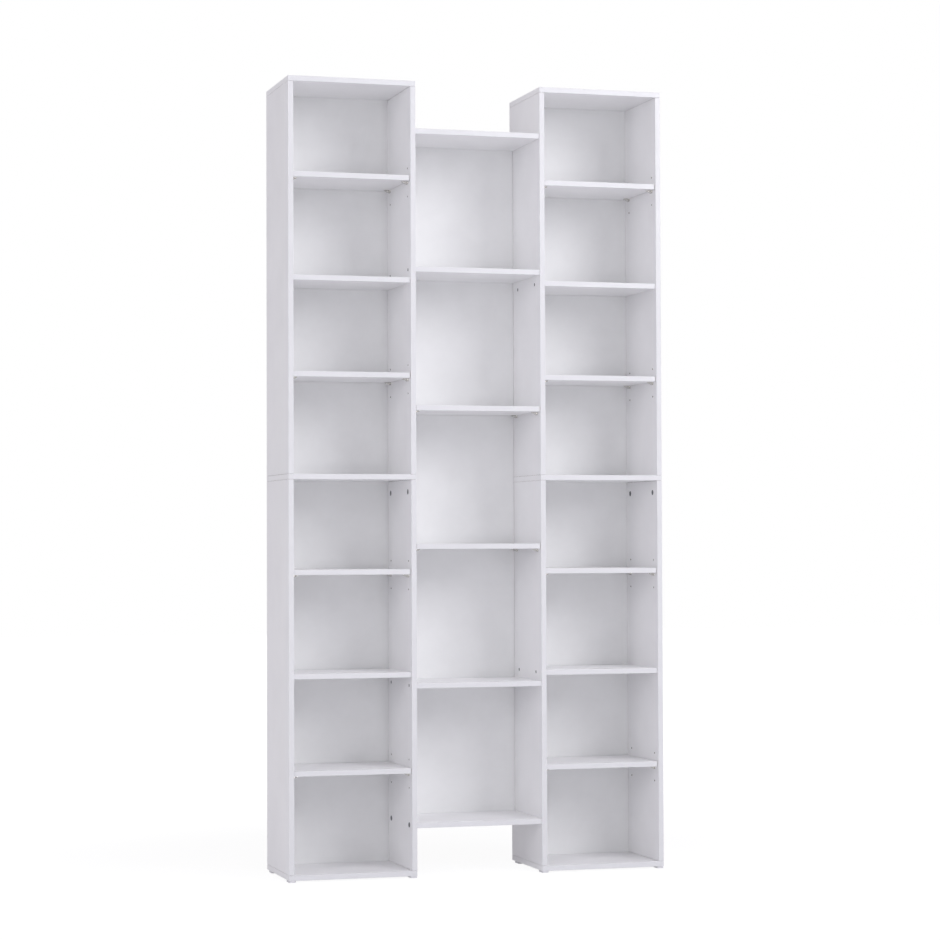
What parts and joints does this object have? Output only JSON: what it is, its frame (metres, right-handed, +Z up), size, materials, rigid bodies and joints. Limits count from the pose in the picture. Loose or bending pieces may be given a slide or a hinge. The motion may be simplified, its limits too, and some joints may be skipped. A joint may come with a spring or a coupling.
{
  "type": "bookshelf",
  "caption": "Tall white bookshelf: open towers joined by a stack of shelves hung between them, with set-in backs, low feet and loose shelves that lie on pins.",
  "frame": {"origin": "on the floor, under the middle of the whole bookshelf", "axes": "+X to the right seen from the front, +Y from the front to the back, +Z up"},
  "size_m": [1.107, 0.288, 2.25],
  "materials": {
    "white_board": "white melamine coating with a fine satin grain",
    "white_hardboard": "white painted face, smooth and matt",
    "nickel_pin": "bright nickel plating",
    "zinc_screw": "bright zinc plating",
    "zinc_cam": "die-cast zinc, dull grey",
    "zinc_bolt": "bright zinc plating",
    "beech": "bare turned beech",
    "foot_plastic": "moulded, matt"
  },
  "bodies": {
    "carcass": {"centre_back_nails": "zinc_screw", "centre_barrel_nuts": "zinc_bolt", "centre_bottom_panel": "white_board", "centre_cam_bolts": "zinc_bolt", "centre_cam_discs": "zinc_cam", "centre_link_bolts": "zinc_bolt", "centre_lower_back": "white_hardboard", "centre_middle_back": "white_hardboard", "centre_shelf_1": "white_board", "centre_shelf_4": "white_board", "centre_shelf_pins": "nickel_pin", "centre_top_panel": "white_board", "centre_upper_back": "white_hardboard", "left_bottom_panel": "white_board", "left_cam_bolts": "zinc_bolt", "left_cam_discs": "zinc_cam", "left_dowels": "beech", "left_feet": "foot_plastic", "left_lower_back": "white_hardboard", "left_lower_fixed_shelf": "white_board", "left_lower_inner_side": "white_board", "left_lower_outer_side": "white_board", "left_mid_panel": "white_board", "left_panel_screws": "zinc_screw", "left_shelf_pins": "nickel_pin", "left_shelf_screws": "zinc_screw", "left_top_panel": "white_board", "left_upper_back": "white_hardboard", "left_upper_fixed_shelf": "white_board", "left_upper_inner_side": "white_board", "left_upper_outer_side": "white_board", "right_bottom_panel": "white_board", "right_cam_bolts": "zinc_bolt", "right_cam_discs": "zinc_cam", "right_dowels": "beech", "right_feet": "foot_plastic", "right_lower_back": "white_hardboard", "right_lower_fixed_shelf": "white_board", "right_lower_inner_side": "white_board", "right_lower_outer_side": "white_board", "right_mid_panel": "white_board", "right_panel_screws": "zinc_screw", "right_shelf_pins": "nickel_pin", "right_shelf_screws": "zinc_screw", "right_top_panel": "white_board", "right_upper_back": "white_hardboard", "right_upper_fixed_shelf": "white_board", "right_upper_inner_side": "white_board", "right_upper_outer_side": "white_board"},
    "left_loose_shelf_1": {"left_loose_shelf_1": "white_board"},
    "left_loose_shelf_2": {"left_loose_shelf_2": "white_board"},
    "left_loose_shelf_3": {"left_loose_shelf_3": "white_board"},
    "left_loose_shelf_4": {"left_loose_shelf_4": "white_board"},
    "right_loose_shelf_1": {"right_loose_shelf_1": "white_board"},
    "right_loose_shelf_2": {"right_loose_shelf_2": "white_board"},
    "right_loose_shelf_3": {"right_loose_shelf_3": "white_board"},
    "right_loose_shelf_4": {"right_loose_shelf_4": "white_board"},
    "centre_shelf_2": {"centre_shelf_2": "white_board"},
    "centre_shelf_3": {"centre_shelf_3": "white_board"}
  },
  "joints": [
    {"name": "left_loose_shelf_1_slide", "type": "slide", "parent": "carcass", "child": "left_loose_shelf_1", "axis": [0, -1, 0], "range_m": [0, 0.27]},
    {"name": "left_loose_shelf_2_slide", "type": "slide", "parent": "carcass", "child": "left_loose_shelf_2", "axis": [0, -1, 0], "range_m": [0, 0.27]},
    {"name": "left_loose_shelf_3_slide", "type": "slide", "parent": "carcass", "child": "left_loose_shelf_3", "axis": [0, -1, 0], "range_m": [0, 0.27]},
    {"name": "left_loose_shelf_4_slide", "type": "slide", "parent": "carcass", "child": "left_loose_shelf_4", "axis": [0, -1, 0], "range_m": [0, 0.27]},
    {"name": "right_loose_shelf_1_slide", "type": "slide", "parent": "carcass", "child": "right_loose_shelf_1", "axis": [0, -1, 0], "range_m": [0, 0.27]},
    {"name": "right_loose_shelf_2_slide", "type": "slide", "parent": "carcass", "child": "right_loose_shelf_2", "axis": [0, -1, 0], "range_m": [0, 0.27]},
    {"name": "right_loose_shelf_3_slide", "type": "slide", "parent": "carcass", "child": "right_loose_shelf_3", "axis": [0, -1, 0], "range_m": [0, 0.27]},
    {"name": "right_loose_shelf_4_slide", "type": "slide", "parent": "carcass", "child": "right_loose_shelf_4", "axis": [0, -1, 0], "range_m": [0, 0.27]},
    {"name": "centre_shelf_2_slide", "type": "slide", "parent": "carcass", "child": "centre_shelf_2", "axis": [0, -1, 0], "range_m": [0, 0.27]},
    {"name": "centre_shelf_3_slide", "type": "slide", "parent": "carcass", "child": "centre_shelf_3", "axis": [0, -1, 0], "range_m": [0, 0.27]}
  ]
}
